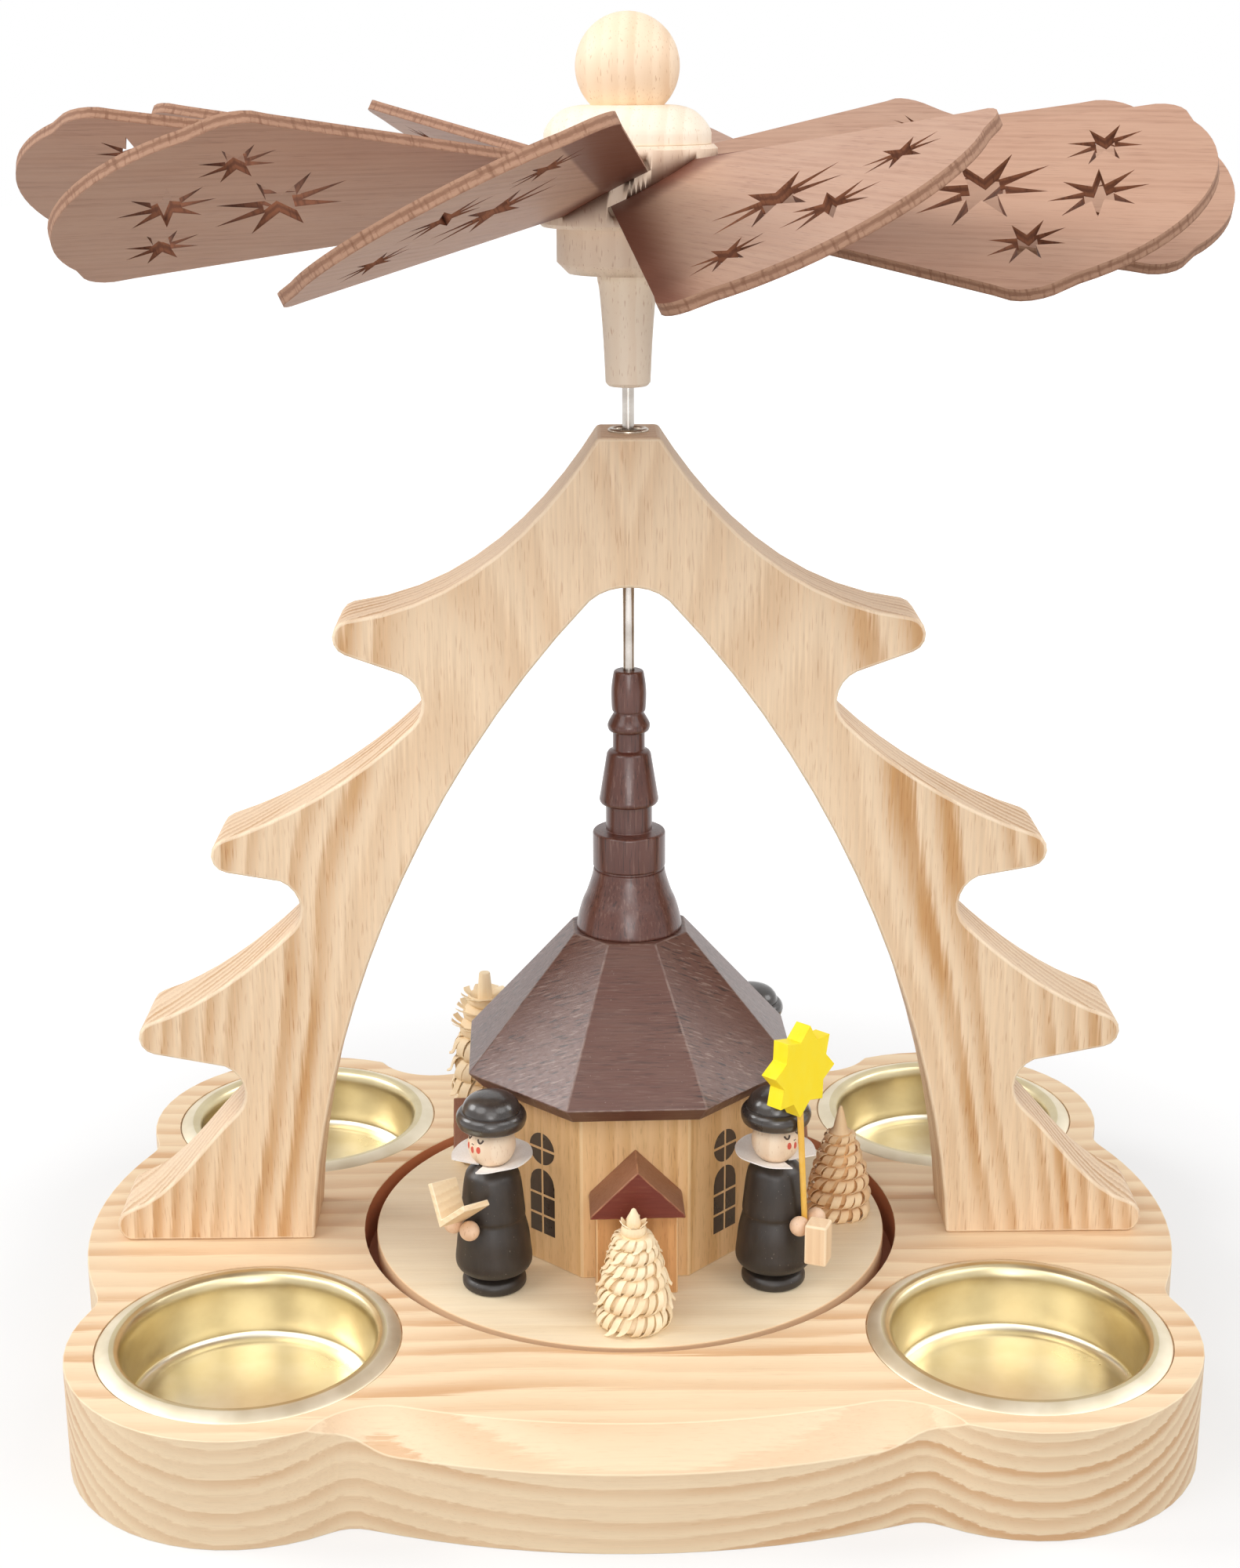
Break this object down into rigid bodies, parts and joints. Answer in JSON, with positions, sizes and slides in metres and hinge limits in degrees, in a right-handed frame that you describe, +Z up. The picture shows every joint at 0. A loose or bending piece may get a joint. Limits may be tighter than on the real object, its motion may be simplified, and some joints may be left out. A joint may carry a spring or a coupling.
{
  "type": "christmas pyramid",
  "caption": "Wooden candle carousel with a lobed base, tea light cups, a fir-shaped arch, a turning church scene with singers and curled trees, and a bladed wing wheel",
  "frame": {"origin": "centre of the base underside, on the spindle axis", "axes": "+Z up along the spindle, +X to the right seen from the front, front towards -Y"},
  "size_m": [0.195, 0.1868, 0.2285],
  "materials": {
    "base_wood": "matte",
    "arch_wood": "matte",
    "dowel_wood": "matte",
    "bush_metal": "satin",
    "bearing_steel": "polished",
    "cup_metal": "satin",
    "spindle_steel": "satin",
    "table_wood": "satin",
    "wall_wood": "satin",
    "roof_stain": "satin",
    "spire_stain": "satin",
    "porch_wood": "satin",
    "gable_stain": "satin",
    "coat_black": "satin",
    "hat_black": "satin",
    "head_wood": "satin",
    "collar_paper": "matte",
    "hand_wood": "satin",
    "book_wood": "matte",
    "lantern_wood": "matte",
    "pole_wood": "satin",
    "star_paint": "satin",
    "shaving_wood": "matte",
    "hub_wood": "matte",
    "ball_wood": "matte",
    "blade_wood": "matte"
  },
  "bodies": {
    "stand": {"base_plate": "base_wood", "tree_arch": "arch_wood", "arch_dowels": "dowel_wood", "guide_bush": "bush_metal", "bearing_cup": "bearing_steel", "cup_front_left": "cup_metal", "cup_front_right": "cup_metal", "cup_back_left": "cup_metal", "cup_back_right": "cup_metal"},
    "carousel": {"spindle_rod": "spindle_steel", "turntable": "table_wood", "church_body": "wall_wood", "church_roof": "roof_stain", "church_spire": "spire_stain", "porch_front": "porch_wood", "gable_front": "gable_stain", "porch_left": "porch_wood", "gable_left": "gable_stain", "porch_right": "porch_wood", "gable_right": "gable_stain", "porch_back": "porch_wood", "gable_back": "gable_stain", "reader_body": "coat_black", "reader_head": "head_wood", "reader_hat": "hat_black", "reader_collar": "collar_paper", "reader_hands": "hand_wood", "reader_book": "book_wood", "bearer_body": "coat_black", "bearer_head": "head_wood", "bearer_hat": "hat_black", "bearer_collar": "collar_paper", "bearer_hands": "hand_wood", "chorister_body": "coat_black", "chorister_head": "head_wood", "chorister_hat": "hat_black", "chorister_collar": "collar_paper", "chorister_hands": "hand_wood", "chorister_book": "book_wood", "bearer_lantern": "lantern_wood", "bearer_pole": "pole_wood", "bearer_star": "star_paint", "tree_front": "shaving_wood", "tree_right": "shaving_wood", "tree_back": "shaving_wood"},
    "wing_wheel": {"wing_hub": "hub_wood", "hub_post": "hub_wood", "hub_cap": "hub_wood", "finial_ball": "ball_wood", "blade_0": "blade_wood", "blade_1": "blade_wood", "blade_2": "blade_wood", "blade_3": "blade_wood", "blade_4": "blade_wood", "blade_5": "blade_wood", "blade_6": "blade_wood", "blade_7": "blade_wood", "blade_8": "blade_wood", "blade_9": "blade_wood"}
  },
  "joints": [
    {"name": "carousel_spin", "type": "hinge", "parent": "stand", "child": "carousel", "pos_m": [0, 0, 0.0188], "axis": [0, 0, 1], "continuous": true},
    {"name": "wing_lift", "type": "slide", "parent": "carousel", "child": "wing_wheel", "axis": [0, 0, 1], "range_m": [0, 0.04]}
  ]
}
